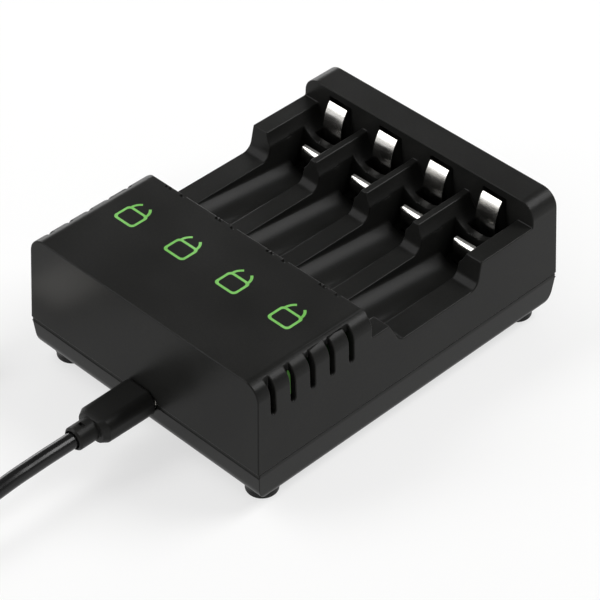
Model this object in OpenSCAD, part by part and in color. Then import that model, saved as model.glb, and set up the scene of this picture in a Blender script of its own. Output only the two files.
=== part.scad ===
// Four-bay charger for AA and AAA cells, with a short USB lead.
// Millimetres. X runs across the bays, Y from the socket face to the rear wall, Z up from the surface.

/* [Housing] */
// Width of the housing at the parting line
body_w = 73.1; // [71:0.1:84]
// Depth of the housing at the parting line
body_d = 95.2; // [93:0.1:110]
// Height of the top above the surface
body_h = 34.9; // [34.4:0.1:40]
// Height of the parting line above the surface
parting_z = 11.6; // [11.2:0.1:12.2]
// Draft of the long side faces in degrees
side_draft = 1.9; // [0.5:0.1:3.5]
// Draft of the front and rear faces in degrees
end_draft = 2.4; // [0.5:0.1:3.5]
// Radius of the long top edges
top_r = 4.2; // [3:0.1:6]
// Thickness of the moulded walls
wall = 1.8; // [1.4:0.1:2]

/* [Bottom cover] */
// Radius of the long bottom edges
bottom_side_r = 2.8; // [2.2:0.1:5]
// Radius of the front and rear bottom edges
bottom_end_r = 5; // [2.2:0.1:7]
// Draft of the cover's side faces in degrees
cover_draft = 5; // [2:0.5:8]
// Height of the groove across the front and rear faces, between housing and cover
groove_h = 1.1; // [0.6:0.1:1.5]
// Depth of that groove
groove_depth = 0.35; // [0.3:0.05:0.9]
// How far the cover's front and rear rims stand in from the housing
cover_step = 0.25; // [0:0.05:0.4]

/* [Feet] */
// Height of the feet
foot_h = 2; // [1.4:0.1:2.4]
// Diameter of the feet
foot_d = 7.5; // [6:0.1:9]
// Distance of a foot's centre from the side face
foot_inset_x = 5.8; // [5.4:0.1:7.2]
// Distance of a foot's centre from the end face
foot_inset_y = 6.6; // [6:0.1:8]

/* [Bays] */
// Distance between neighbouring bays
bay_pitch = 16.15; // [15.8:0.05:17]
// Length of a bay between its end walls
bay_l = 51.6; // [51:0.1:56]
// Diameter of an AA cell
aa_d = 14.5; // [13.5:0.1:14.6]
// Room around an AA cell in its saddle
aa_room = 0.25; // [0.1:0.05:0.4]
// Diameter of an AAA cell
aaa_d = 10.5; // [9.5:0.1:10.6]
// Room around an AAA cell in its groove
aaa_room = 0.25; // [0.1:0.05:0.4]
// Height of the AA cells' axis
aa_axis_z = 31.3; // [31:0.1:32.8]
// Depth of the ridges below the AA axis
ridge_drop = 8.6; // [7.6:0.1:9]
// Depth of the rear divider tops below the AA axis
rear_divider_drop = 2.1; // [1.4:0.1:3]
// Depth of the front divider tops below the AA axis
front_divider_drop = 2.7; // [2:0.1:3.6]
// Length of the front dividers
front_divider_l = 5.3; // [4:0.1:8]
// Length of the rear dividers
rear_divider_l = 17.1; // [15:0.1:20]
// Length of the ramps between the ridges and the front dividers
front_ramp_l = 3.2; // [2.5:0.1:5]
// Length of the steeper ramps between the ridges and the rear dividers
rear_ramp_l = 1.2; // [0.8:0.1:4]
// Radius at the foot of the ramps
ramp_r = 2.6; // [1.5:0.1:3]
// Height of the AAA axis over the ridges at the front
aaa_rise = 3.9; // [3.5:0.1:4.3]
// Fall of the AAA grooves towards the rear in degrees
aaa_tilt = 6.1; // [5.5:0.1:6.6]
// Radius of the AAA grooves' floor
groove_floor_r = 7.5; // [6.5:0.1:9]
// Thickness of the rear wall at its top
rear_wall_t = 7.95; // [6.5:0.05:9]

/* [Contacts] */
// Thickness of the contact strip
strip_t = 0.4; // [0.3:0.05:0.6]
// Width of the AA leaf contacts
aa_leaf_w = 5.8; // [4:0.1:6.4]
// Width of the AAA leaf contacts
aaa_leaf_w = 6.6; // [5:0.1:8]
// Height of the AA leaf's tip over the AA axis
aa_leaf_rise = 0.9; // [0:0.1:1.8]
// Width of the positive contact plates
plate_w = 5.6; // [4:0.1:7]

/* [Lights and vents] */
// Length of a light's battery outline
glyph_l = 6.4; // [5:0.1:8]
// Width of a light's battery outline
glyph_w = 5.3; // [4:0.1:7]
// Width of the light's line
glyph_line = 0.65; // [0.5:0.05:1]
// Distance of the lights from the block's rear edge
glyph_set = 13.7; // [11:0.1:17]
// Number of vent slots on each side
vent_count = 5; // [3:1:5]
// Distance between vent slots
vent_pitch = 5.8; // [4.5:0.1:6]
// Width of a vent slot
vent_w = 1.5; // [1:0.1:2]
// Distance of the first vent from the front edge
vent_set = 4.2; // [3.5:0.1:6]
// Height of a vent slot's lower end below the top
vent_drop = 9.2; // [7:0.1:11]

/* [Lead] */
// Width of the USB-C plug's grip
grip_w = 9.7; // [9.2:0.1:12]
// Height of the USB-C plug's grip
grip_h = 6.6; // [6:0.1:8]
// Length of the USB-C plug's grip
grip_l = 14.3; // [12:0.1:22]
// Diameter of the cable
cable_d = 3.8; // [3:0.1:4]

/* [Hidden] */
$fn = 48;

housing_black = [0.14, 0.14, 0.135];
rubber_black = [0.1, 0.1, 0.1];
board_green = [0.06, 0.25, 0.14];
nickel = [0.82, 0.82, 0.8];
light_green = [0.2, 0.9, 0.25];
part_grey = [0.3, 0.3, 0.32];
lead_black = [0.08, 0.08, 0.08];

// Cutters reach past the faces they open by this much
eps = 0.5;
// Gap between pieces that slide past each other
clear = 0.3;
bay_count = 4;

// Side faces lean in from the parting line upwards
function half_w_at(z) = body_w / 2 - (z - parting_z) * tan(side_draft);
function half_d_at(z) = body_d / 2 - (z - parting_z) * tan(end_draft);

// End walls of the bays
rear_y = half_d_at(body_h) - rear_wall_t;
front_y = rear_y - bay_l;
function bay_x(i) = (i - (bay_count + 1) / 2) * bay_pitch;

// Heights in the bays
saddle_r = aa_d / 2 + aa_room;
groove_r = aaa_d / 2 + aaa_room;
ridge_z = aa_axis_z - ridge_drop;
rear_divider_z = aa_axis_z - rear_divider_drop;
front_divider_z = aa_axis_z - front_divider_drop;
rear_divider_y = rear_y - rear_divider_l;
front_divider_y = front_y + front_divider_l;
function aaa_axis_at(y) = ridge_z + aaa_rise - (y - front_y) * tan(aaa_tilt);

// Pockets for the leaf contacts, and the web between them that carries an AA cell
web_rear_y = rear_y - 4.5;
web_t = 2;
web_front_y = web_rear_y - web_t;
aaa_pocket_l = 4.7;
groove_end_y = web_front_y - aaa_pocket_l;
aa_pocket_w = aa_leaf_w + 1.2;
aaa_pocket_w = 2 * groove_r + clear;
leaf_slot_depth = 3;
pocket_floor_z = aaa_axis_at(groove_end_y) - groove_r - 0.4;
under_pocket_z = pocket_floor_z - wall;

// Board and USB socket, whose middle lies just below the parting line
socket_w = 9;
socket_h = 3.3;
socket_l = 7.3;
socket_wall = 0.3;
usb_z = parting_z - 0.6;
board_t = 1.6;
board_top_z = usb_z - socket_h / 2;
board_z = board_top_z - board_t;
board_margin = wall + cover_step + 1.2;
board_w = body_w - 2 * board_margin;
board_d = body_d - 2 * board_margin;
face_y = -half_d_at(usb_z);
socket_front_y = face_y + 0.7;

// Bosses and screws above the feet
foot_x = body_w / 2 - foot_inset_x;
foot_y = body_d / 2 - foot_inset_y;
pad_r = foot_d / 2 + 0.3;
boss_r = 3;
boss_split_z = foot_h + 5;
screw_d = 2.2;
screw_head_d = 4.6;
screw_head_z = foot_h + 1.4;
screw_seat_z = foot_h + 3;
screw_bite = 7;
counterbore_d = 5;
corners = [[-1, -1], [1, -1], [-1, 1], [1, 1]];

// Posts under the board, below the dividers
post_r = 2;
post_pin_d = 1.6;
post_x = bay_pitch;
post_set = 10;
post_y = foot_y - post_set;

// Inside of the cover
cover_rim_z = parting_z - groove_h;
cover_floor_z = foot_h + 0.1;
cover_half_w = body_w / 2;
cover_half_d = body_d / 2 - cover_step;

// Leaf contacts spring from just above the board
// An AA leaf bellies forward, an AAA leaf folds back at its top
leaf_foot_z = board_top_z + 0.1;
aa_root_y = rear_y - 1.7;
aa_knee_drop = 11.4;
aa_belly_y = rear_y - 4;
aa_belly_drop = 3.9;
aa_tip_y = rear_y - 0.5;
aaa_root_y = web_front_y - 2.55;
aaa_nose_y = web_front_y - 3.3;
aaa_nose_drop = 0.9;
aaa_knee_drop = 6;
aaa_flange_l = 1.5;
aaa_flange_rise = 0.33;

// Positive contacts: a plate on the bay's front wall for AA, set back in a recess for the AAA nub,
// then folded through the wall and down to the board
end_wall_t = wall + 0.8;
plate_top_z = aa_axis_z + 1.6;
joggle_z = aa_axis_z - 2.6;
nub_recess = 1.2;
lower_plate_y = front_y - nub_recess - strip_t;
fold_z = aaa_axis_at(front_y) - 3.9;
tail_y = front_y - end_wall_t - clear - strip_t;
dimple_d = 3.4;
dimple_h = 0.2;

// Notches in the block's rear edge: place beside the bay's middle, and width
notches = [[-3.2, 0.8], [-1.9, 1.2], [1.8, 1.2]];
notch_h = 1.3;
notch_depth = 1;

// Lights: the line lies in a groove of the block's top, its stem goes down to the board
glyph_depth = 0.6;
glyph_r = 1.1;
glyph_shift = -0.8;
glyph_y = front_y - glyph_set;
horn_base = glyph_l / 2 - 0.8;
horn_tip = horn_base - 1.2;
horn_l = 2.4;
stem_y = (glyph_w - glyph_line) / 2;
stem_d = glyph_line - 0.1;
guide_d = 2.6;
led_h = 1;
led_l = 3;
led_w = 1.8;

// Parts on the board, which stand clear of the tails of the contacts
part_gap = 1.5;
chip_w = 7;
chip_h = 1;
inductor_w = 7;
inductor_h = 4;
can_d = 5;
can_h = 5.2;

// Vents cut the rounded top edge down to the cavity
vent_in = 2.2;
front_top_y = -half_d_at(body_h);

// Lead: the plug's grip and boot, then the cable to its coil
grip_r = 2.6;
grip_gap = 0.2;
grip_front_y = face_y - grip_gap;
grip_rear_y = grip_front_y - grip_l;
boot_d = 5.7;
boot_l = 5.3;
boot_rear_y = grip_rear_y - boot_l;
tip_w = 8.2;
tip_h = 2.4;
tip_l = 6.4;
tip_wall = 0.55;
coil_x = -23;
coil_y = -122;
coil_in_r = 17;
coil_out_r = 25;
tie_t = 0.8;
tie_w = 6;
coil_h = 8;
coil_edge_r = 2;
lead_route = [
    [0, -71, 11], [0, -75, 11], [0, -79, 10.9], [0, -83, 10.8], [0, -87, 10.5], [0, -91, 10.1],
    [0, -95, 9.6], [0, -99, 9], [0, -103, 8.4], [0, -107, 7.9], [0, -111, 7.4], [0, -115, 7],
    [0, -119, 6.8], [0, -122, 6.8]
];
tail_route = [
    [-46, -122, 2.8], [-46, -118, 2.8], [-46, -114, 2.8], [-46, -110, 3.2], [-46, -106, 3.8], [-46, -102, 4]
];
tail_end = tail_route[len(tail_route) - 1];
a_boot_d = 5.6;
a_boot_l = 7;
a_grip_w = 15;
a_grip_h = 8;
a_grip_l = 17;
a_grip_r = 2.4;
a_shell_w = 12;
a_shell_h = 4.5;
a_shell_l = 18.5;
a_shell_wall = 0.35;
a_tongue_h = 1.9;

// Shapes that several pieces share

// Points of an arc about a centre
function arc(c, r, from, to, n = 10) =
    [for (i = [0:n]) let(a = from + (to - from) * i / n) c + r * [cos(a), sin(a)]];

// Outline with straight drafted sides and two round corners at the far end
module drafted_outline(half, low, high, draft, r) {
    zc = high - r;
    xc = half - (zc - low) * tan(draft) - r / cos(draft);
    polygon(concat(
        [[-half, low], [half, low]],
        arc([xc, zc], r, draft, 90), arc([-xc, zc], r, 90, 180 - draft)
    ));
}

// Outline of a tray: the same shape upside down, from its rim down to its floor
module tray_outline(half, floor_z, rim_z, draft, r) {
    translate([0, floor_z + rim_z]) mirror([0, 1]) drafted_outline(half, floor_z, rim_z, draft, r);
}

// Rectangle with round corners, centred
module round_rect(w, h, r) {
    x = w / 2 - r;
    y = h / 2 - r;
    polygon(concat(
        arc([x, y], r, 0, 90), arc([-x, y], r, 90, 180),
        arc([-x, -y], r, 180, 270), arc([x, -y], r, 270, 360)
    ));
}

// Extrudes an outline drawn in X and Z along Y
module along_y(y0, y1) {
    translate([0, y1, 0]) rotate([90, 0, 0]) linear_extrude(y1 - y0) children();
}

// Extrudes an outline drawn in Y and Z along X
module along_x(x0, x1) {
    translate([x0, 0, 0]) rotate([90, 0, 90]) linear_extrude(x1 - x0) children();
}

// Box between two corners
module span(a, b) {
    translate(a) cube(b - a);
}

// Strip outline of one thickness along a path
function unit(v) = v / norm(v);
function side_of(v) = [-v[1], v[0]];
function heading(p, i) = unit(p[min(i + 1, len(p) - 1)] - p[max(i - 1, 0)]);
function edge(p, t) = [for (i = [0:len(p) - 1]) p[i] + side_of(heading(p, i)) * t / 2];
function reversed(p) = [for (i = [len(p) - 1:-1:0]) p[i]];
function strip(p, t) = concat(edge(p, t), reversed(edge(p, -t)));
function bend(a, b, c, n) =
    [for (i = [0:n]) let(u = i / n) (1 - u) ^ 2 * a + 2 * u * (1 - u) * b + u ^ 2 * c];

// Round tube swept along a route of points
function route_step(p, i) = unit(p[min(i + 1, len(p) - 1)] - p[max(i - 1, 0)]);
function ring(p, i, d, n) =
    let(t = route_step(p, i), u = unit(cross(t, [1, 0, 0])), v = cross(t, u))
    [for (k = [0:n - 1]) p[i] + (u * cos(360 * k / n) + v * sin(360 * k / n)) * d / 2];
module tube(p, d, n = 8) {
    last = len(p) - 1;
    points = [for (i = [0:last]) each ring(p, i, d, n)];
    sides = [for (i = [0:last - 1], k = [0:n - 1])
        [i * n + k, (i + 1) * n + k, (i + 1) * n + (k + 1) % n, i * n + (k + 1) % n]];
    start = [for (k = [0:n - 1]) k];
    end = [for (k = [n - 1:-1:0]) last * n + k];
    polyhedron(points, concat([start], sides, [end]));
}

// Lines of the battery sign: its body and the two sides of its neck
function horn(s) =
    let(foot = [s * horn_base, stem_y], tip = [s * horn_tip, stem_y + horn_l])
    bend(foot, foot + [0, horn_l * 0.6], tip, 6);
module glyph() {
    difference() {
        round_rect(glyph_l, glyph_w, glyph_r);
        round_rect(glyph_l - 2 * glyph_line, glyph_w - 2 * glyph_line, glyph_r - glyph_line / 2);
    }
    for (s = [-1, 1]) polygon(strip(horn(s), glyph_line));
}

// Opening for the socket, shared by the housing and the cover
module socket_opening() {
    translate([0, 0, usb_z]) along_y(face_y - 2 * eps, face_y + wall + 2 * eps)
        round_rect(socket_w + 2 * clear, socket_h + 2 * clear, socket_h / 2);
}

// Top housing

module housing_outside() {
    intersection() {
        along_y(-body_d, body_d) drafted_outline(body_w / 2, parting_z, body_h, side_draft, top_r);
        along_x(-body_w, body_w) polygon([
            [-body_d / 2, parting_z], [body_d / 2, parting_z],
            [half_d_at(body_h), body_h], [front_top_y, body_h]
        ]);
    }
}

module housing_cavity() {
    inner_w = half_w_at(parting_z - eps) - wall;
    inner_d = half_d_at(parting_z - eps) - wall;
    block_y = front_y - end_wall_t;
    intersection() {
        along_y(-body_d, body_d)
            drafted_outline(inner_w, parting_z - eps, body_h - wall, side_draft, top_r - wall);
        along_x(-body_w, body_w) polygon([
            [-inner_d, parting_z - eps], [inner_d, parting_z - eps],
            [half_d_at(under_pocket_z) - wall, under_pocket_z], [groove_end_y, under_pocket_z],
            [block_y, aaa_axis_at(front_y) - groove_r - wall], [block_y, body_h - wall],
            [front_top_y + wall, body_h - wall]
        ]);
    }
}

// Free room over ridges and dividers, with the ramps' feet rounded into the ridge
module bay_sky() {
    front_slope = atan2(front_divider_z - ridge_z, front_ramp_l);
    rear_slope = atan2(rear_divider_z - ridge_z, rear_ramp_l);
    front_foot_y = front_divider_y + front_ramp_l + ramp_r * tan(front_slope / 2);
    rear_foot_y = rear_divider_y - rear_ramp_l - ramp_r * tan(rear_slope / 2);
    above = body_h + eps;
    along_x(-body_w, body_w) polygon(concat(
        [[front_y, above], [front_y, front_divider_z], [front_divider_y, front_divider_z]],
        arc([front_foot_y, ridge_z + ramp_r], ramp_r, 270 - front_slope, 270),
        arc([rear_foot_y, ridge_z + ramp_r], ramp_r, 270, 270 + rear_slope),
        [[rear_divider_y, rear_divider_z], [rear_y, rear_divider_z], [rear_y, above]]
    ));
}

module bay_cut(x) {
    groove_l = bay_l + 10;
    floor_turn = asin(groove_r / groove_floor_r);
    translate([x, 0, aa_axis_z]) along_y(front_y, rear_y) circle(saddle_r);
    intersection() {
        translate([x, front_y, aaa_axis_at(front_y)]) rotate([-aaa_tilt, 0, 0]) along_y(-eps * 4, groove_l)
            polygon(concat(
                [[groove_r, saddle_r], [-groove_r, saddle_r]],
                arc([0, groove_floor_r - groove_r], groove_floor_r, 270 - floor_turn, 270 + floor_turn, 24)
            ));
        span([x - saddle_r, front_y, 0], [x + saddle_r, groove_end_y + eps, aa_axis_z]);
    }
    span([x - aaa_pocket_w / 2, groove_end_y, pocket_floor_z],
         [x + aaa_pocket_w / 2, web_front_y, aa_axis_z]);
    span([x - aa_pocket_w / 2, web_rear_y, pocket_floor_z],
         [x + aa_pocket_w / 2, rear_y, aa_axis_z]);
    leaf_slot(x);
    tail_slot(x, aa_leaf_w, aa_root_y);
    tail_slot(x, aaa_leaf_w, aaa_root_y);
    plate_seat(x);
}

// Recess of the rear wall that an AA leaf bends back into
module leaf_slot(x) {
    span([x - aa_pocket_w / 2, rear_y - eps, pocket_floor_z],
         [x + aa_pocket_w / 2, rear_y + leaf_slot_depth, aa_axis_z + aa_leaf_rise + 0.6]);
}

// Slot in the pocket floor for the foot of a leaf
module tail_slot(x, w, y) {
    span([x - w / 2 - clear, y - strip_t / 2 - clear, under_pocket_z - eps],
         [x + w / 2 + clear, y + strip_t / 2 + 3 * clear, pocket_floor_z + eps]);
}

// Seat and slot of a positive contact, and the notches above it
module plate_seat(x) {
    half = plate_w / 2 + clear;
    span([x - half, lower_plate_y - clear / 3, fold_z - clear],
         [x + half, front_y + eps, joggle_z + strip_t + clear]);
    span([x - half, front_y - end_wall_t - eps, fold_z - clear],
         [x + half, front_y + eps, fold_z + strip_t + clear]);
    for (n = notches) span([x + n[0] - n[1] / 2, front_y - notch_depth, body_h - notch_h],
                           [x + n[0] + n[1] / 2, front_y + eps, body_h + eps]);
}

module vents() {
    half = half_w_at(body_h);
    low = body_h - vent_drop;
    for (s = [0, 1], i = [0:vent_count - 1]) mirror([s, 0, 0])
        translate([half - vent_in, front_top_y + vent_set + i * vent_pitch, 0]) {
            along_x(0, top_r) polygon(concat(
                [[vent_w / 2, body_h + eps], [-vent_w / 2, body_h + eps]],
                arc([0, low + vent_w / 2], vent_w / 2, 180, 360)
            ));
        }
}

module housing_bosses() {
    for (c = corners) {
        top = c[1] < 0 ? body_h - wall / 2 : pocket_floor_z - wall / 2;
        translate([c[0] * foot_x, c[1] * foot_y, boss_split_z]) cylinder(r = boss_r, h = top - boss_split_z);
    }
}

module top_housing() {
    color(housing_black) difference() {
        union() {
            difference() {
                housing_outside();
                housing_cavity();
            }
            intersection() {
                housing_bosses();
                union() {
                    housing_outside();
                    span([-body_w, -body_d, 0], [body_w, body_d, parting_z + eps]);
                }
            }
        }
        bay_sky();
        for (i = [1:bay_count]) bay_cut(bay_x(i));
        vents();
        socket_opening();
        for (i = [1:bay_count]) translate([bay_x(i) + glyph_shift, glyph_y, body_h - glyph_depth]) {
            linear_extrude(glyph_depth + eps) glyph();
            translate([0, stem_y, -wall - eps]) cylinder(d = stem_d, h = wall + 2 * eps);
        }
        for (c = corners) translate([c[0] * foot_x, c[1] * foot_y, boss_split_z - eps])
            cylinder(d = screw_d + 0.1, h = screw_bite + eps);
    }
}

// Bottom cover

module cover_solid(in, floor_z, rim_z) {
    intersection() {
        along_y(-body_d, body_d)
            tray_outline(cover_half_w - in, floor_z, rim_z, cover_draft, bottom_side_r - in);
        along_x(-body_w, body_w)
            tray_outline(cover_half_d - in, floor_z, rim_z, cover_draft, bottom_end_r - in);
    }
}

module bottom_cover() {
    neck_w = body_w - 2 * groove_depth;
    neck_d = body_d - 2 * groove_depth;
    inner_w = 2 * (cover_half_w - wall);
    inner_d = 2 * (cover_half_d - wall);
    color(housing_black) difference() {
        union() {
            difference() {
                union() {
                    cover_solid(0, cover_floor_z, cover_rim_z);
                    along_y(-neck_d / 2, neck_d / 2) polygon([
                        [-neck_w / 2, cover_rim_z - eps], [neck_w / 2, cover_rim_z - eps],
                        [cover_half_w, cover_rim_z], [cover_half_w, parting_z],
                        [-cover_half_w, parting_z], [-cover_half_w, cover_rim_z]
                    ]);
                }
                cover_solid(wall, cover_floor_z + wall, cover_rim_z);
                span([-inner_w / 2, -inner_d / 2, cover_rim_z - eps / 10],
                     [inner_w / 2, inner_d / 2, parting_z + eps]);
            }
            for (c = corners) translate([c[0] * foot_x, c[1] * foot_y, foot_h])
                cylinder(r = pad_r, h = boss_split_z - foot_h);
            for (c = corners) translate([c[0] * post_x, c[1] * post_y, cover_floor_z]) {
                cylinder(r = post_r, h = board_z - cover_floor_z);
                cylinder(d = post_pin_d, h = board_top_z - cover_floor_z + 0.6);
            }
        }
        for (c = corners) translate([c[0] * foot_x, c[1] * foot_y, 0]) {
            cylinder(d = counterbore_d, h = screw_seat_z);
            cylinder(d = screw_d + 0.4, h = boss_split_z + eps);
        }
        socket_opening();
    }
}

module foot(c) {
    round_r = 0.5;
    plug_d = counterbore_d - 0.2;
    color(rubber_black) translate([c[0] * foot_x, c[1] * foot_y, 0]) {
        rotate_extrude() {
            square([foot_d / 2 - round_r, foot_h]);
            translate([0, round_r]) square([foot_d / 2, foot_h - round_r]);
            translate([foot_d / 2 - round_r, round_r]) circle(round_r);
        }
        translate([0, 0, foot_h / 2]) cylinder(d = plug_d, h = screw_head_z - 0.1 - foot_h / 2);
    }
}

module cover_screws() {
    color(nickel) for (c = corners) translate([c[0] * foot_x, c[1] * foot_y, 0]) {
        translate([0, 0, screw_head_z]) cylinder(d = screw_head_d, h = screw_seat_z - screw_head_z);
        translate([0, 0, screw_seat_z - eps])
            cylinder(d = screw_d, h = boss_split_z - screw_seat_z + screw_bite);
    }
}

// Board and what stands on it

module circuit_board() {
    cut_x = foot_x + body_w / 2 - boss_r - 2 * clear;
    cut_y = foot_y + body_d / 2 - boss_r - 2 * clear;
    color(board_green) difference() {
        span([-board_w / 2, -board_d / 2, board_z], [board_w / 2, board_d / 2, board_top_z]);
        for (c = corners) translate([c[0] * cut_x, c[1] * cut_y, board_z])
            cube([body_w, body_d, 2 * board_t + eps], center = true);
        for (c = corners) translate([c[0] * post_x, c[1] * post_y, board_z - eps])
            cylinder(d = post_pin_d + clear, h = board_t + 2 * eps);
    }
}

module usb_c_socket() {
    tongue_l = 5;
    tongue_w = 6.2;
    back = 0.8;
    outer_r = socket_h / 2 - 0.05;
    color(nickel) translate([0, 0, usb_z]) {
        difference() {
            along_y(socket_front_y, socket_front_y + socket_l) round_rect(socket_w, socket_h, outer_r);
            along_y(socket_front_y - eps, socket_front_y + socket_l - back)
                round_rect(socket_w - 2 * socket_wall, socket_h - 2 * socket_wall, outer_r - socket_wall);
        }
        along_y(socket_front_y + socket_l - back - tongue_l, socket_front_y + socket_l - back / 2)
            square([tongue_w, 0.7], center = true);
    }
}

module charge_controller() {
    y0 = glyph_y + stem_y + led_w / 2 + part_gap;
    color(part_grey) span([-chip_w / 2, y0, board_top_z], [chip_w / 2, y0 + chip_w, board_top_z + chip_h]);
}

module power_inductor() {
    color(part_grey) translate([-bay_pitch, front_y + part_gap + inductor_w / 2, board_top_z])
        linear_extrude(inductor_h) round_rect(inductor_w, inductor_w, 1.5);
}

module input_capacitor() {
    color(part_grey) translate([bay_pitch, front_y + part_gap + can_d / 2, board_top_z])
        cylinder(d = can_d, h = can_h);
}

module status_leds() {
    color(light_green) for (i = [1:bay_count])
        translate([bay_x(i) + glyph_shift, glyph_y + stem_y, board_top_z + led_h / 2])
            cube([led_l, led_w, led_h], center = true);
}

module indicator_light(i) {
    foot_z = board_top_z + led_h + 0.2;
    neck_z = body_h - wall - 0.2;
    color(light_green) translate([bay_x(i) + glyph_shift, glyph_y, 0]) {
        translate([0, 0, body_h - glyph_depth]) linear_extrude(glyph_depth) glyph();
        translate([0, stem_y, foot_z]) cylinder(d = stem_d, h = body_h - glyph_depth / 2 - foot_z);
        translate([0, stem_y, foot_z]) cylinder(d = guide_d, h = neck_z - foot_z);
    }
}

// Contacts

module positive_contact(i) {
    x = bay_x(i);
    half = plate_w / 2;
    face = front_y + strip_t;
    color(nickel) {
        span([x - half, front_y, joggle_z], [x + half, face, plate_top_z]);
        span([x - half, lower_plate_y, joggle_z], [x + half, face, joggle_z + strip_t]);
        span([x - half, lower_plate_y, fold_z], [x + half, lower_plate_y + strip_t, joggle_z + strip_t]);
        span([x - half, tail_y, fold_z], [x + half, lower_plate_y + strip_t, fold_z + strip_t]);
        span([x - half, tail_y, board_top_z], [x + half, tail_y + strip_t, fold_z + strip_t]);
        translate([x, front_y + strip_t / 2, aa_axis_z]) rotate([-90, 0, 0])
            cylinder(d = dimple_d, h = strip_t / 2 + dimple_h);
    }
}

module leaf(i, w, path) {
    color(nickel) along_x(bay_x(i) - w / 2, bay_x(i) + w / 2) polygon(strip(path, strip_t));
}

module aa_contact(i) {
    knee = [aa_root_y, aa_axis_z - aa_knee_drop];
    tip = [aa_tip_y, aa_axis_z + aa_leaf_rise];
    belly = [aa_belly_y, aa_axis_z - aa_belly_drop];
    leaf(i, aa_leaf_w, concat([[aa_root_y, leaf_foot_z]], bend(knee, belly, tip, 12)));
}

module aaa_contact(i) {
    nose = [aaa_nose_y, aa_axis_z - saddle_r - aaa_nose_drop];
    knee = [aaa_root_y, nose[1] - aaa_knee_drop];
    flange = [aaa_flange_l, aaa_flange_rise];
    fold = bend(nose + 0.2 * (knee - nose), nose, nose + 0.6 * flange, 8);
    leaf(i, aaa_leaf_w, concat([[aaa_root_y, leaf_foot_z], knee], fold, [nose + flange]));
}

// Lead with its plugs

module usb_c_plug() {
    color(lead_black) translate([0, 0, usb_z]) {
        along_y(grip_rear_y, grip_front_y) round_rect(grip_w, grip_h, grip_r);
        along_y(boot_rear_y, grip_rear_y + eps) circle(d = boot_d);
    }
}

module usb_c_tip() {
    inner_h = tip_h - 2 * tip_wall;
    color(nickel) translate([0, 0, usb_z]) difference() {
        along_y(grip_front_y, grip_front_y + tip_l) round_rect(tip_w, tip_h, tip_h / 2 - 0.05);
        along_y(grip_front_y + 0.4, grip_front_y + tip_l + eps)
            round_rect(tip_w - 2 * tip_wall, inner_h, inner_h / 2 - 0.05);
    }
}

module usb_lead() {
    color(lead_black) tube(concat([[0, boot_rear_y, usb_z]], lead_route), cable_d);
}

module lead_tail() {
    color(lead_black) tube(tail_route, cable_d);
}

module lead_coil() {
    color(lead_black) translate([coil_x, coil_y, tie_t]) rotate_extrude()
        translate([(coil_in_r + coil_out_r) / 2, coil_h / 2])
            round_rect(coil_out_r - coil_in_r, coil_h, coil_edge_r);
}

module lead_tie() {
    gap = 0.1;
    in_r = sqrt(coil_in_r ^ 2 - (tie_w / 2) ^ 2) - gap;
    out_r = coil_out_r + gap;
    top_z = tie_t + coil_h;
    color(rubber_black) translate([coil_x, coil_y, 0]) difference() {
        span([-tie_w / 2, in_r - tie_t, 0], [tie_w / 2, out_r + tie_t, top_z + tie_t]);
        span([-tie_w, in_r, tie_t], [tie_w, out_r, top_z]);
    }
}

module usb_a_plug() {
    color(lead_black) translate([tail_end[0], tail_end[1], tail_end[2]]) {
        along_y(0, a_boot_l + eps) circle(d = a_boot_d);
        along_y(a_boot_l, a_boot_l + a_grip_l) round_rect(a_grip_w, a_grip_h, a_grip_r);
    }
}

module usb_a_shell() {
    y0 = a_boot_l + a_grip_l;
    inner_w = a_shell_w - 2 * a_shell_wall;
    inner_h = a_shell_h - 2 * a_shell_wall;
    color(nickel) translate([tail_end[0], tail_end[1], tail_end[2]]) difference() {
        along_y(y0, y0 + a_shell_l) square([a_shell_w, a_shell_h], center = true);
        along_y(y0 + 2, y0 + a_shell_l + eps) translate([0, inner_h / 2 - (inner_h - a_tongue_h) / 2])
            square([inner_w, inner_h - a_tongue_h], center = true);
    }
}

top_housing();
bottom_cover();
circuit_board();
usb_c_socket();
charge_controller();
power_inductor();
input_capacitor();
status_leds();
cover_screws();
indicator_light(1);  // indicator_light_1
indicator_light(2);  // indicator_light_2
indicator_light(3);  // indicator_light_3
indicator_light(4);  // indicator_light_4
positive_contact(1);  // positive_contact_1
positive_contact(2);  // positive_contact_2
positive_contact(3);  // positive_contact_3
positive_contact(4);  // positive_contact_4
aa_contact(1);  // aa_contact_1
aa_contact(2);  // aa_contact_2
aa_contact(3);  // aa_contact_3
aa_contact(4);  // aa_contact_4
aaa_contact(1);  // aaa_contact_1
aaa_contact(2);  // aaa_contact_2
aaa_contact(3);  // aaa_contact_3
aaa_contact(4);  // aaa_contact_4
foot(corners[0]);  // foot_1
foot(corners[1]);  // foot_2
foot(corners[2]);  // foot_3
foot(corners[3]);  // foot_4
usb_c_plug();
usb_c_tip();
usb_lead();
lead_coil();
lead_tie();
lead_tail();
usb_a_plug();
usb_a_shell();
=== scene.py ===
"""Looks, lead and studio of a four-bay charger for AA and AAA cells.

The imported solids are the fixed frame. Lengths below are in millimetres unless a name or a note says otherwise,
and turn to metres where a mesh is made.
"""
from __future__ import annotations

import logging
import math
from collections.abc import Sequence
from dataclasses import dataclass, field
from enum import Enum

import bmesh
import bpy
from mathutils import Matrix, Vector


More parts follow.
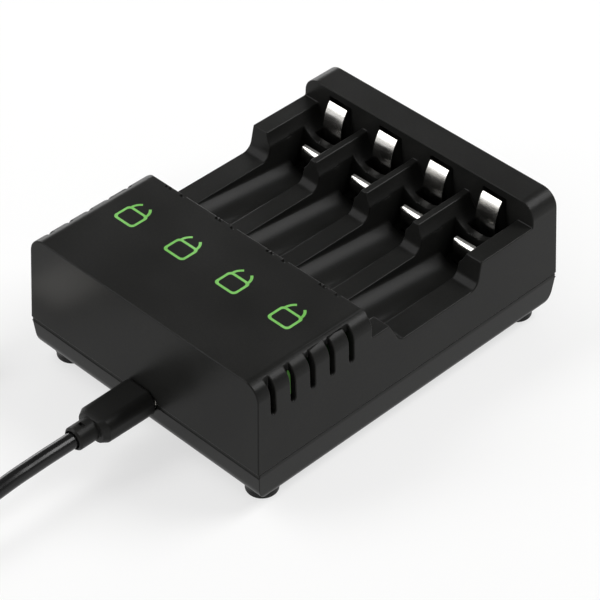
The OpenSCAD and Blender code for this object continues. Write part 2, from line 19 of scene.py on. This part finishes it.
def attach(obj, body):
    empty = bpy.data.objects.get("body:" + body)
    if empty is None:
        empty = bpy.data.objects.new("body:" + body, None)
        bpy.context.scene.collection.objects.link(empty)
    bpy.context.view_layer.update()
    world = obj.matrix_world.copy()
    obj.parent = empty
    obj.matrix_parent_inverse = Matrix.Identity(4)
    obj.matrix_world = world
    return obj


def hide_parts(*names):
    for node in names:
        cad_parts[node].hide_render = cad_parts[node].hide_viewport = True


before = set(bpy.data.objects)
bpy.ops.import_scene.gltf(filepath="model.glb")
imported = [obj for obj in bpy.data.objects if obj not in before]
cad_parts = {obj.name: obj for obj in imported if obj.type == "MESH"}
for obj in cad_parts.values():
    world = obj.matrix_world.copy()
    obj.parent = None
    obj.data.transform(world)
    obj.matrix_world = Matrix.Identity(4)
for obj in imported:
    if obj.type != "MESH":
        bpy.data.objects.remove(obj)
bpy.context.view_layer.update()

LOG = logging.getLogger("charger")
MM = 0.001
BODY = "charger"
BAYS = range(1, 5)

Point = tuple[float, float, float]
Box = tuple[Point, Point]

# Most values of one noise lie in the first span, and those of two noises multiplied in the second
NOISE_SPAN = (0.3, 0.7)
PRODUCT_SPAN = (0.15, 0.38)
# Scale of the noise along the lines of rolled strip
LINE_SCALE = 0.04
# A round section's corners stop short of meeting by this, so that no side has zero length
SLIVER = 0.001


class Grain(Enum):
    """How a surface was made, which decides its fine pattern."""

    SPARKED = "spark-eroded mould, an even fine grain"
    POLISHED = "polished mould, nearly smooth"
    ROLLED = "rolled strip, fine lines along its length"


def linear(hex_colour: str) -> tuple[float, float, float, float]:
    """Turns an sRGB hex colour into the linear colour that shaders take.

    Args:
        hex_colour: Six hex digits after a hash sign.

    Returns:
        Linear red, green, blue and an alpha of 1.
    """
    channels = [int(hex_colour[i:i + 2], 16) / 255 for i in (1, 3, 5)]
    low = [c / 12.92 for c in channels]
    high = [((c + 0.055) / 1.055) ** 2.4 for c in channels]
    mixed = [a if c <= 0.04045 else b for c, a, b in zip(channels, low, high)]
    return mixed[0], mixed[1], mixed[2], 1.0


WHITE = linear("#ffffff")


def cleared_tree(owner: bpy.types.Material | bpy.types.World) -> bpy.types.NodeTree:
    """Gives a material or a world an empty node tree.

    Args:
        owner: The material or world.

    Returns:
        Its node tree.
    """
    owner.use_nodes = True
    owner.node_tree.nodes.clear()
    return owner.node_tree


def add_node(tree: bpy.types.NodeTree, kind: str, settings: dict | None = None, values: dict | None = None,
             links: dict | None = None) -> bpy.types.Node:
    """Adds one shader node.

    Args:
        tree: The node tree that takes the node.
        kind: Blender's name of the node type.
        settings: Attributes of the node.
        values: Constants on its input sockets.
        links: Output sockets that feed its input sockets.

    Returns:
        The new node.
    """
    node = tree.nodes.new(kind)
    for name, value in (settings or {}).items():
        setattr(node, name, value)
    for name, value in (values or {}).items():
        node.inputs[name].default_value = value
    for name, source in (links or {}).items():
        tree.links.new(source, node.inputs[name])
    return node


@dataclass(frozen=True)
class Finish:
    """A moulded, rolled or plated surface with its grain.

    Attributes:
        name: What the real material is called.
        colour: Its sRGB colour.
        fleck: A second sRGB colour that varies the first.
        roughness: Middle of the roughness.
        spread: How far the roughness swings about its middle.
        metallic: 1 for bare metal.
        specular: Strength of the surface reflection on plastics.
        grain: How the surface was made.
        grain_mm: Size of the grain's dots or lines.
        depth_mm: Height of the grain.
        patch_mm: Size of the slow changes of tone and gloss.
        glow: Strength of the light that the material gives off.
    """

    name: str
    colour: str
    fleck: str
    roughness: float
    spread: float = 0.05
    metallic: float = 0.0
    specular: float = 0.5
    grain: Grain = Grain.SPARKED
    grain_mm: float = 0.4
    depth_mm: float = 0.01
    patch_mm: float = 18.0
    glow: float = 0.0

    def stretch(self) -> Point:
        """Gives the grain's scale along X, Y and Z: lines run along Z on rolled strip."""
        return (1.0, 1.0, LINE_SCALE) if self.grain is Grain.ROLLED else (1.0, 1.0, 1.0)

    def material(self) -> bpy.types.Material:
        """Builds the material.

        Returns:
            A node material with tone, gloss and grain from procedural noise.
        """
        made = bpy.data.materials.new(self.name)
        tree = cleared_tree(made)
        place = add_node(tree, "ShaderNodeTexCoord")
        lined = add_node(tree, "ShaderNodeMapping", values={"Scale": self.stretch()},
                         links={"Vector": place.outputs["Object"]})
        grain = add_node(tree, "ShaderNodeTexNoise", values={"Scale": 1 / (self.grain_mm * MM), "Detail": 3.0},
                         links={"Vector": lined.outputs["Vector"]})
        patch = add_node(tree, "ShaderNodeTexNoise", values={"Scale": 1 / (self.patch_mm * MM), "Detail": 2.0},
                         links={"Vector": place.outputs["Object"]})
        both = add_node(tree, "ShaderNodeMath", {"operation": "MULTIPLY"},
                        links={0: grain.outputs["Fac"], 1: patch.outputs["Fac"]})
        share = add_node(tree, "ShaderNodeMapRange",
                         values={"From Min": PRODUCT_SPAN[0], "From Max": PRODUCT_SPAN[1]},
                         links={"Value": both.outputs["Value"]})
        tone = add_node(tree, "ShaderNodeMix", {"data_type": "RGBA"},
                        {"A": linear(self.colour), "B": linear(self.fleck)}, {"Factor": share.outputs["Result"]})
        gloss = add_node(tree, "ShaderNodeMapRange",
                         values={"From Min": NOISE_SPAN[0], "From Max": NOISE_SPAN[1],
                                 "To Min": self.roughness - self.spread, "To Max": self.roughness + self.spread},
                         links={"Value": patch.outputs["Fac"]})
        bump = add_node(tree, "ShaderNodeBump", values={"Strength": 0.5, "Distance": self.depth_mm * MM},
                        links={"Height": grain.outputs["Fac"]})
        shader = add_node(tree, "ShaderNodeBsdfPrincipled",
                          values={"Metallic": self.metallic, "Specular IOR Level": self.specular},
                          links={"Base Color": tone.outputs["Result"], "Roughness": gloss.outputs["Result"],
                                 "Normal": bump.outputs["Normal"]})
        if self.glow:
            shader.inputs["Emission Strength"].default_value = self.glow
            tree.links.new(tone.outputs["Result"], shader.inputs["Emission Color"])
        add_node(tree, "ShaderNodeOutputMaterial", links={"Surface": shader.outputs["BSDF"]})
        return made


# Real spark erosion and rolling lines are finer than 0.1 mm and wouldn't show, so the grains are drawn coarser.

# ABS from a spark-eroded mould: black with a silky sheen and a grain that is just felt
SATIN_ABS = Finish("satin_black_abs", "#1a1a19", "#1f1f1e", 0.31, 0.03, specular=0.1, grain_mm=0.5, depth_mm=0.012)
# Soft PVC of the plug's grip: matt black, with a softer and broader sheen than the housing
PVC_GRIP = Finish("matt_black_pvc", "#181817", "#1c1c1b", 0.40, 0.04, specular=0.18, grain_mm=0.35, depth_mm=0.01)
# PVC sheath, drawn smooth: black with a clear line of light along it
PVC_SHEATH = Finish("glossy_black_pvc", "#0f0f0f", "#131313", 0.22, 0.02, specular=0.3, grain=Grain.POLISHED,
                    grain_mm=1.2, depth_mm=0.004)
# Rubber: black without gloss
RUBBER = Finish("black_rubber", "#141414", "#191919", 0.55, 0.05, specular=0.2, grain_mm=0.6, depth_mm=0.02)
# Nickel on spring steel: bright and slightly warm, with the rolling lines of the strip
NICKEL = Finish("nickel_plated_strip", "#d8d6d2", "#c8c6c1", 0.2, 0.05, metallic=1.0, grain=Grain.ROLLED,
                grain_mm=0.25, depth_mm=0.003, patch_mm=6.0)
# Clear green light guide with a lamp under it: it glows evenly
GREEN_GUIDE = Finish("lit_green_acrylic", "#5f9f46", "#73b05c", 0.3, 0.05, grain=Grain.POLISHED, glow=0.25,
                     grain_mm=0.8, depth_mm=0.003)
# Solder mask on glass-fibre board: glossy dark green
SOLDER_MASK = Finish("green_solder_mask", "#14502f", "#1a5d38", 0.3, 0.05, grain_mm=0.8, depth_mm=0.01)
# Epoxy of moulded chips: dark grey and matt
CHIP_EPOXY = Finish("moulded_epoxy", "#2c2c2e", "#333335", 0.6, 0.05, grain_mm=0.2, depth_mm=0.01)
# Aluminium can of a capacitor: drawn and satin
CAN = Finish("drawn_aluminium", "#b9babc", "#a9aaac", 0.32, 0.05, metallic=1.0, grain=Grain.ROLLED, grain_mm=0.2,
             depth_mm=0.003)
# Zinc on steel screws: bluish grey
ZINC = Finish("zinc_plated_steel", "#a8abb0", "#95989d", 0.35, 0.06, metallic=1.0, grain_mm=0.3, depth_mm=0.005)


@dataclass
class Palette:
    """Builds each finish once and hands out its material.

    Attributes:
        made: The materials built so far, by the finish's name.
    """

    made: dict[str, bpy.types.Material] = field(default_factory=dict)

    def dress(self, obj: bpy.types.Object, finish: Finish) -> None:
        """Gives an object one finish.

        Args:
            obj: The object, whose own material slots are cleared.
            finish: The finish that it takes.
        """
        if finish.name not in self.made:
            self.made[finish.name] = finish.material()
        obj.data.materials.clear()
        obj.data.materials.append(self.made[finish.name])


def add_object(name: str, data: bpy.types.ID) -> bpy.types.Object:
    """Adds an object to the scene.

    Args:
        name: The object's name.
        data: Its mesh, curve, lamp or camera.

    Returns:
        The new object.
    """
    obj = bpy.data.objects.new(name, data)
    bpy.context.scene.collection.objects.link(obj)
    return obj


def add_piece(name: str, data: bpy.types.Mesh | bpy.types.Curve, body: str = BODY) -> bpy.types.Object:
    """Adds a piece that rides on a body.

    Args:
        name: The piece's name.
        data: Its mesh or curve, in metres in the row frame.
        body: The body that carries it.

    Returns:
        The new piece.
    """
    obj = add_object(name, data)
    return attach(obj, body)


def placed(right: Vector, up: Vector, back: Vector, place: Vector) -> Matrix:
    """Gives the matrix of a camera or lamp, which looks away from its own Z axis.

    Args:
        right: Direction of its own X axis.
        up: Direction of its own Y axis.
        back: Direction of its own Z axis.
        place: Where it stands, in metres.

    Returns:
        The matrix.
    """
    return Matrix.Translation(place) @ Matrix((right, up, back)).transposed().to_4x4()


def edge_middle(edge: bmesh.types.BMEdge) -> Vector:
    """Gives the middle point of an edge."""
    return (edge.verts[0].co + edge.verts[1].co) / 2


def add_bevel(obj: bpy.types.Object, width: float, segments: int, limit: str) -> bpy.types.BevelModifier:
    """Adds a bevel to an object's edges, and normals that keep its flat faces flat.

    Args:
        obj: The object.
        width: Width of the rounding.
        segments: Faces across it.
        limit: Blender's name of the rule that chooses the edges.

    Returns:
        The bevel.
    """
    bevel = obj.modifiers.new("edge break", "BEVEL")
    bevel.width = width * MM
    bevel.segments = segments
    bevel.limit_method = limit
    level = obj.modifiers.new("flat faces stay flat", "WEIGHTED_NORMAL")
    level.weight = 100
    level.keep_sharp = True
    return bevel


@dataclass(frozen=True)
class EdgeBreak:
    """Makes a copy of a solid with its sharp edges rounded as a mould leaves them.

    Attributes:
        radius: Width of the rounding.
        segments: Faces across it.
        edge_angle: Angle between faces above which an edge is rounded, in degrees.
        crisp: Boxes where the copy keeps the solid's faces and edges, as details there are finer than the rounding.
        weld: Distance below which points are joined.
        flat_angle: Angle between faces below which they become one, in degrees.
    """

    radius: float = 0.3
    segments: int = 2
    edge_angle: float = 28.0
    crisp: Sequence[Box] = ()
    weld: float = 0.002
    flat_angle: float = 0.5

    def is_crisp(self, point: Vector) -> bool:
        """Tells whether a point lies in one of the crisp boxes.

        Args:
            point: A vertex of the copied solid, or the middle of an edge.

        Returns:
            True where the solid stays as it is.
        """
        return any(all(a * MM < c < b * MM for a, c, b in zip(low, point, high)) for low, high in self.crisp)

    def prepare(self, shape: bmesh.types.BMesh) -> None:
        """Joins the solid's triangles into flat faces and marks the edges to round.

        Args:
            shape: The copied solid, which is changed in place.
        """
        bmesh.ops.remove_doubles(shape, verts=shape.verts, dist=self.weld * MM)
        bmesh.ops.dissolve_limit(shape, angle_limit=math.radians(self.flat_angle),
                                 edges=[edge for edge in shape.edges if not self.is_crisp(edge_middle(edge))],
                                 verts=[vert for vert in shape.verts if not self.is_crisp(vert.co)])
        weight = shape.edges.layers.float.new("bevel_weight_edge")
        for edge in shape.edges:
            turned = edge.calc_face_angle(0.0) > math.radians(self.edge_angle)
            rounded = turned and not self.is_crisp(edge_middle(edge))
            edge[weight] = 1.0 if rounded else 0.0
            edge.smooth = rounded or not turned
        for face in shape.faces:
            face.smooth = True

    def copy(self, node: str, slot: str, body: str = BODY) -> bpy.types.Object:
        """Copies one node, rounds the copy's edges and lets it stand for the node.

        Args:
            node: The node's name.
            slot: The record's material slot of the copy; not used.
            body: The body that carries both.

        Returns:
            The copy.
        """
        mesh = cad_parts[node].data.copy()
        shape = bmesh.new()
        shape.from_mesh(mesh)
        self.prepare(shape)
        shape.to_mesh(mesh)
        shape.free()
        mesh.name = f"{node}_edges"
        obj = add_piece(f"{node}_moulded", mesh, body)
        bevel = add_bevel(obj, self.radius, self.segments, "WEIGHT")
        bevel.use_clamp_overlap = False
        bevel.miter_outer = "MITER_ARC"
        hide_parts(node)
        return obj


# Places on the housing with details finer than its rounding
SIGN_SLOTS: Box = ((-34, -31, 34), (34, -21, 36))
LEAF_POCKETS: Box = ((-32, 22, 10), (32, 42, 24))
PLATE_SEATS: Box = ((-32, -17, 14), (32, -12.5, 29.8))
REAR_NOTCHES: Sequence[Box] = (
    ((-34, -14.2, 33.3), (34, -12.95, 36)), ((-34, -13.2, 33.3), (34, -12.5, 34.8)),
)


@dataclass
class Case:
    """The top housing, the bottom cover and the feet.

    Attributes:
        palette: The finishes' materials.
        housing_edge: Rounding of the housing's edges.
        cover_edge: Rounding of the cover's edges.
    """

    palette: Palette
    housing_edge: EdgeBreak = EdgeBreak(
        radius=0.28, segments=3, crisp=(SIGN_SLOTS, LEAF_POCKETS, PLATE_SEATS, *REAR_NOTCHES))
    cover_edge: EdgeBreak = EdgeBreak(radius=0.2)

    def build(self) -> None:
        """Rounds the edges of both shells and dresses them and the feet."""
        for node, edge in (("top_housing", self.housing_edge), ("bottom_cover", self.cover_edge)):
            self.palette.dress(edge.copy(node, "housing"), SATIN_ABS)
        for i in BAYS:
            self.palette.dress(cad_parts[f"foot_{i}"], RUBBER)
        LOG.info("case: housing, cover and feet")


@dataclass
class Contacts:
    """Leaf contacts at the bays' rear ends and plates at their front ends.

    Attributes:
        palette: The finishes' materials.
        edge: Rounding of the leaves' stamped edges.
    """

    palette: Palette
    edge: EdgeBreak = EdgeBreak(radius=0.08, segments=1, edge_angle=50.0)

    def build(self) -> None:
        """Dresses all twelve contacts in nickel."""
        for i in BAYS:
            for kind in ("aa", "aaa"):
                leaf = self.edge.copy(f"{kind}_contact_{i}", "nickel", f"{kind}_leaf_{i}")
                self.palette.dress(leaf, NICKEL)
            self.palette.dress(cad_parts[f"positive_contact_{i}"], NICKEL)
        LOG.info("contacts: leaves and plates")


@dataclass
class Electronics:
    """The board with its parts, the screws, and the light guides over the lamps.

    Attributes:
        palette: The finishes' materials.
        finishes: The inner nodes and what they take.
    """

    palette: Palette
    finishes: dict[str, Finish] = field(default_factory=lambda: {
        "circuit_board": SOLDER_MASK, "usb_c_socket": NICKEL, "charge_controller": CHIP_EPOXY,
        "power_inductor": CHIP_EPOXY, "input_capacitor": CAN, "status_leds": GREEN_GUIDE, "cover_screws": ZINC,
    })

    def build(self) -> None:
        """Dresses the inner pieces and the lit signs."""
        for node, finish in self.finishes.items():
            self.palette.dress(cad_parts[node], finish)
        for i in BAYS:
            self.palette.dress(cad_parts[f"indicator_light_{i}"], GREEN_GUIDE)
        LOG.info("electronics: board, lamps and signs")


@dataclass(frozen=True)
class Ring:
    """One cross-section of a loft: a rectangle with round corners across the lead's direction.

    Attributes:
        y: Its place along the lead.
        half_w: Half of its width.
        half_h: Half of its height.
        r: Radius of its corners.
    """

    y: float
    half_w: float
    half_h: float
    r: float

    @classmethod
    def disc(cls, y: float, radius: float) -> Ring:
        """Gives a round section at a place along the lead."""
        return cls(y, radius, radius, radius - SLIVER)

    def points(self, height: float, steps: int = 14) -> list[Vector]:
        """Gives the section's points.

        Args:
            height: Height of the section's middle.
            steps: Points to a corner.

        Returns:
            Points in metres, counter-clockwise seen from the end where the cable comes out.
        """
        ring = []
        for corner in range(4):
            side_x = 1 if corner in (0, 3) else -1
            side_z = 1 if corner in (0, 1) else -1
            for k in range(steps):
                a = math.radians(90 * corner + 90 * (k + 0.5) / steps)
                ring.append(Vector((side_x * (self.half_w - self.r) + self.r * math.cos(a), self.y,
                                    height + side_z * (self.half_h - self.r) + self.r * math.sin(a))) * MM)
        return ring


@dataclass
class Plug:
    """The moulded grip and boot in front of the socket.

    Attributes:
        palette: The finishes' materials.
        height: Height of the plug's middle.
        grip: Sections from the socket face to the boot.
        boot: Sections of the round boot, its rim and the recess that the cable comes out of.
        dimple_span: Front and rear end of the small pit in the boot's top.
        dimple_half_w: Half of the pit's width.
        dimple_depth: How deep it goes.
        edge: Width of the rounding on the plug's edges.
        edge_angle: Angle between faces above which an edge is rounded, in degrees.
    """

    palette: Palette
    height: float = 11.0
    grip: Sequence[Ring] = (
        Ring(-47.66, 4.65, 3.1, 2.5), Ring(-48.12, 4.85, 3.3, 2.6), Ring(-60.7, 4.78, 3.23, 2.6),
        Ring(-62.12, 3.95, 2.9, 2.5),
    )
    boot: Sequence[Ring] = (
        Ring.disc(-62.12, 2.8), Ring.disc(-64.2, 2.8), Ring.disc(-65.1, 2.8), Ring.disc(-66.95, 2.8),
        Ring.disc(-67.4, 2.45), Ring.disc(-67.4, 2.2), Ring.disc(-66.18, 2.1),
    )
    dimple_span: tuple[float, float] = (-65.1, -64.2)
    dimple_half_w: float = 0.75
    dimple_depth: float = 0.7
    edge: float = 0.14
    edge_angle: float = 18.0

    def build(self) -> bpy.types.Object:
        """Lofts the plug and lets it stand for the plain solid.

        Returns:
            The plug.
        """
        shape = bmesh.new()
        rows = [[shape.verts.new(p) for p in ring.points(self.height)] for ring in (*self.grip, *self.boot)]
        for a, b in zip(rows, rows[1:]):
            for k in range(len(a)):
                n = (k + 1) % len(a)
                shape.faces.new((a[k], a[n], b[n], b[k]))
        shape.faces.new(reversed(rows[0]))
        shape.faces.new(rows[-1])
        self.dimple(shape)
        bmesh.ops.recalc_face_normals(shape, faces=shape.faces)
        mesh = bpy.data.meshes.new("plug_grip")
        shape.to_mesh(mesh)
        shape.free()
        mesh.shade_smooth()
        plug = add_piece("plug_grip", mesh)
        bevel = add_bevel(plug, self.edge, 2, "ANGLE")
        bevel.angle_limit = math.radians(self.edge_angle)
        self.palette.dress(plug, PVC_GRIP)
        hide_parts("usb_c_plug")
        LOG.info("plug: grip and boot")
        return plug

    def dimple(self, shape: bmesh.types.BMesh) -> None:
        """Sinks the small pit into the boot's top.

        Args:
            shape: The loft, which is changed in place.
        """
        front, rear = (y * MM for y in self.dimple_span)
        top = []
        for face in shape.faces:
            middle = face.calc_center_median()
            above = middle.z > self.height * MM and abs(middle.x) < self.dimple_half_w * MM
            if above and front < middle.y < rear:
                top.append(face)
        made = bmesh.ops.extrude_face_region(shape, geom=top)
        moved = [part for part in made["geom"] if isinstance(part, bmesh.types.BMVert)]
        bmesh.ops.translate(shape, verts=moved, vec=(0, 0, -self.dimple_depth * MM))
        bmesh.ops.delete(shape, geom=top, context="FACES_ONLY")


@dataclass
class Lead:
    """The cable from the charger's plug to its coil and on to the far plug.

    Attributes:
        palette: The finishes' materials.
        diameter: The cable's thickness.
        route: Points from the boot to the coil.
        tail: Points from the coil to the far plug.
        coil_centre: Middle of the coil on the floor.
        turn_radii: Radii of the inner and outer turns.
        layers: Heights of the lower and upper turns.
        steps: Points to a turn.
        smoothness: Steps between two points, and steps of the round section.
        fittings: The solids on the cable and what they take.
    """

    palette: Palette
    diameter: float = 3.8
    route: Sequence[Point] = (
        (0, -66.4, 11), (0, -71, 11), (0, -75, 11), (0, -79, 10.9), (0, -83, 10.8), (0, -87, 10.5), (0, -91, 10.1),
        (0, -95, 9.6), (0, -99, 9), (0, -103, 8.4), (0, -107, 7.9), (0, -111, 7.4), (0, -115, 7), (0, -119, 6.8),
        (0, -122, 6.8),
    )
    tail: Sequence[Point] = (
        (-46, -122, 2.8), (-46, -118, 2.8), (-46, -114, 2.8), (-46, -110, 3.2), (-46, -106, 3.8), (-46, -102, 4),
    )
    coil_centre: tuple[float, float] = (-23, -122)
    turn_radii: tuple[float, float] = (19, 23)
    layers: tuple[float, float] = (2.8, 6.8)
    steps: int = 24
    smoothness: int = 6
    fittings: dict[str, Finish] = field(default_factory=lambda: {
        "usb_c_tip": NICKEL, "lead_tie": RUBBER, "usb_a_plug": PVC_GRIP, "usb_a_shell": NICKEL,
    })

    def coil(self) -> list[Point]:
        """Winds the coil clockwise: outer and inner turns on top, then inner and outer turns below.

        Returns:
            Points from the coil's right side to its left side, without the two ends.
        """
        inner, outer = self.turn_radii
        low, high = self.layers
        # Degrees wound, with the radius and height there; the cable eases from one place to the next
        stations = ((0, outer, high), (250, outer, high), (330, inner, high), (560, inner, high),
                    (650, inner, low), (900, inner, low), (990, outer, low), (1260, outer, low))
        points = []
        for k in range(1, round(stations[-1][0] / 360 * self.steps)):
            wound = 360 * k / self.steps
            start, end = next((a, b) for a, b in zip(stations, stations[1:]) if a[0] <= wound < b[0])
            share = (wound - start[0]) / (end[0] - start[0])
            ease = (1 - math.cos(math.pi * share)) / 2
            radius = start[1] + (end[1] - start[1]) * ease
            height = start[2] + (end[2] - start[2]) * ease
            angle = -math.radians(wound)
            points.append((self.coil_centre[0] + radius * math.cos(angle),
                           self.coil_centre[1] + radius * math.sin(angle), height))
        return points

    def build(self, plug: bpy.types.Object) -> bpy.types.Object:
        """Args:
            plug: The plug at the charger's end; not used.

        Returns:
            The cable.
        """
        points = [Vector(p) * MM for p in (*self.route, *self.coil(), *self.tail)]
        curve = bpy.data.curves.new("usb_cable", "CURVE")
        curve.dimensions = "3D"
        # The points' own radii give the thickness: a curve's box takes them in, and by default they are 1 m
        curve.bevel_depth = 1.0
        curve.bevel_resolution = self.smoothness
        curve.resolution_u = self.smoothness
        curve.use_fill_caps = True
        spline = curve.splines.new("BEZIER")
        spline.bezier_points.add(len(points) - 1)
        for knot, point in zip(spline.bezier_points, points):
            knot.co = point
            knot.radius = self.diameter / 2 * MM
            knot.handle_left_type = "AUTO"
            knot.handle_right_type = "AUTO"
        cable = add_piece("usb_cable", curve)
        self.palette.dress(cable, PVC_SHEATH)
        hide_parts("usb_lead", "lead_coil", "lead_tail")
        for node, finish in self.fittings.items():
            self.palette.dress(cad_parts[node], finish)
        return cable


@dataclass(frozen=True)
class Softbox:
    """One studio lamp with a soft rectangular face.

    Attributes:
        name: The lamp's name.
        towards: Direction from the object to the lamp.
        distance: How far away it stands, in metres.
        along: Direction of its long side.
        size: Length and width of its face, in metres.
        power: Its power in watts.
    """

    name: str
    towards: Point
    distance: float
    along: Point
    size: tuple[float, float]
    power: float

    def build(self) -> None:
        """Hangs the lamp and points it at the object."""
        lamp = bpy.data.lights.new(self.name, "AREA")
        lamp.shape = "RECTANGLE"
        lamp.size, lamp.size_y = self.size
        lamp.energy = self.power
        way = Vector(self.towards).normalized()
        across = way.cross(Vector(self.along)).normalized()
        add_object(self.name, lamp).matrix_world = placed(across.cross(way), across, way, way * self.distance)


@dataclass
class Studio:
    """Floor, lamps and the camera at the photograph's angle.

    Attributes:
        azimuth: Degrees from the front towards the right side.
        elevation: Degrees above the horizon.
        distance: From the aimed point to the camera.
        aim_height: Height of the aimed point.
        aim_shift: Shift of the aimed point to the camera's right and up.
        focal_px: Focal length in pixels of the photograph.
        picture_px: Width of the photograph.
        sensor: Width of the camera's sensor.
        floor_size: Side of the floor, in metres.
        floor_colour: The floor's sRGB colour.
        floor_white: Share of even white that the floor shows in the picture and in reflections.
        horizon: Brightness of the studio's walls.
        zenith: Brightness of its ceiling.
        dim_above: Sine of the height at which the ceiling starts.
        lamps: The soft lamps.
    """

    azimuth: float = 45.075
    elevation: float = 40.209
    distance: float = 611.28
    aim_height: float = 13.32
    aim_shift: tuple[float, float] = (0.831, -2.623)
    focal_px: float = 2701.8
    picture_px: float = 600.0
    sensor: float = 36.0
    floor_size: float = 6.0
    floor_colour: str = "#f4f4f3"
    floor_white: float = 0.65
    horizon: float = 1.0
    zenith: float = 0.2
    dim_above: float = 0.5
    lamps: Sequence[Softbox] = (
        Softbox("right strip", (0.38, 0.54, 0.75), 1.5, (0.89, 0.0, -0.45), (0.85, 0.6), 15.0),
        Softbox("left strip", (-0.54, -0.5, 0.68), 1.5, (0.0, 0.8, 0.6), (2.0, 0.6), 14.0),
        Softbox("rear strip", (-0.82, 0.54, 0.16), 1.5, (0.55, 0.83, 0.0), (1.4, 0.6), 8.5),
    )

    def camera(self) -> None:
        """Places the camera where the photograph was taken from."""
        az, el = math.radians(self.azimuth), math.radians(self.elevation)
        back = Vector((math.sin(az) * math.cos(el), -math.cos(az) * math.cos(el), math.sin(el)))
        right = Vector((math.cos(az), math.sin(az), 0))
        up = back.cross(right)
        aim = Vector((0, 0, self.aim_height)) + right * self.aim_shift[0] + up * self.aim_shift[1]
        data = bpy.data.cameras.new("camera")
        data.sensor_width = self.sensor
        data.lens = self.focal_px / self.picture_px * self.sensor
        data.clip_end = 20.0
        obj = add_object("camera", data)
        obj.matrix_world = placed(right, up, back, (aim + back * self.distance) * MM)
        bpy.context.scene.camera = obj

    def floor(self) -> None:
        """Lays the pale floor, which keeps the object's shadow under its share of even white."""
        half = self.floor_size / 2
        mesh = bpy.data.meshes.new("floor")
        mesh.from_pydata([(-half, -half, 0), (half, -half, 0), (half, half, 0), (-half, half, 0)], [], [(0, 1, 2, 3)])
        obj = add_object("floor", mesh)
        made = bpy.data.materials.new("pale_paper_sweep")
        tree = cleared_tree(made)
        paper = add_node(tree, "ShaderNodeBsdfPrincipled",
                         values={"Base Color": linear(self.floor_colour), "Roughness": 0.9, "Specular IOR Level": 0.1})
        white = add_node(tree, "ShaderNodeEmission", values={"Color": WHITE, "Strength": 1.0})
        path = add_node(tree, "ShaderNodeLightPath")
        seen = path.outputs["Is Camera Ray"]
        for ray in ("Is Glossy Ray", "Is Transmission Ray"):
            either = add_node(tree, "ShaderNodeMath", {"operation": "MAXIMUM"}, links={0: seen, 1: path.outputs[ray]})
            seen = either.outputs["Value"]
        share = add_node(tree, "ShaderNodeMath", {"operation": "MULTIPLY"}, {1: self.floor_white}, {0: seen})
        both = add_node(tree, "ShaderNodeMixShader",
                        links={"Fac": share.outputs["Value"], 1: paper.outputs["BSDF"], 2: white.outputs["Emission"]})
        add_node(tree, "ShaderNodeOutputMaterial", links={"Surface": both.outputs["Shader"]})
        mesh.materials.append(made)

    def light(self) -> None:
        """Lights the object with a bright horizon under a dim ceiling, and with soft lamps."""
        world = bpy.data.worlds.new("studio")
        tree = cleared_tree(world)
        place = add_node(tree, "ShaderNodeTexCoord")
        height = add_node(tree, "ShaderNodeSeparateXYZ", links={"Vector": place.outputs["Generated"]})
        level = add_node(tree, "ShaderNodeMapRange",
                         values={"From Max": self.dim_above, "To Min": self.horizon, "To Max": self.zenith},
                         links={"Value": height.outputs["Z"]})
        sky = add_node(tree, "ShaderNodeBackground", values={"Color": WHITE},
                       links={"Strength": level.outputs["Result"]})
        add_node(tree, "ShaderNodeOutputWorld", links={"Surface": sky.outputs["Background"]})
        bpy.context.scene.world = world
        for lamp in self.lamps:
            lamp.build()
        bpy.context.scene.view_settings.view_transform = "Standard"

    def build(self) -> None:
        """Sets up camera, floor and light."""
        self.camera()
        self.floor()
        self.light()
        LOG.info("studio: camera, floor and %d lamps", len(self.lamps))


def main() -> None:
    """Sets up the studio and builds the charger's pieces in order."""
    logging.basicConfig(level=logging.INFO, format="%(name)s: %(message)s")
    palette = Palette()
    Studio().build()
    Lead(palette).build(Plug(palette).build())
    Case(palette).build()
    Contacts(palette).build()
    Electronics(palette).build()


if __name__ == "__main__":
    main()
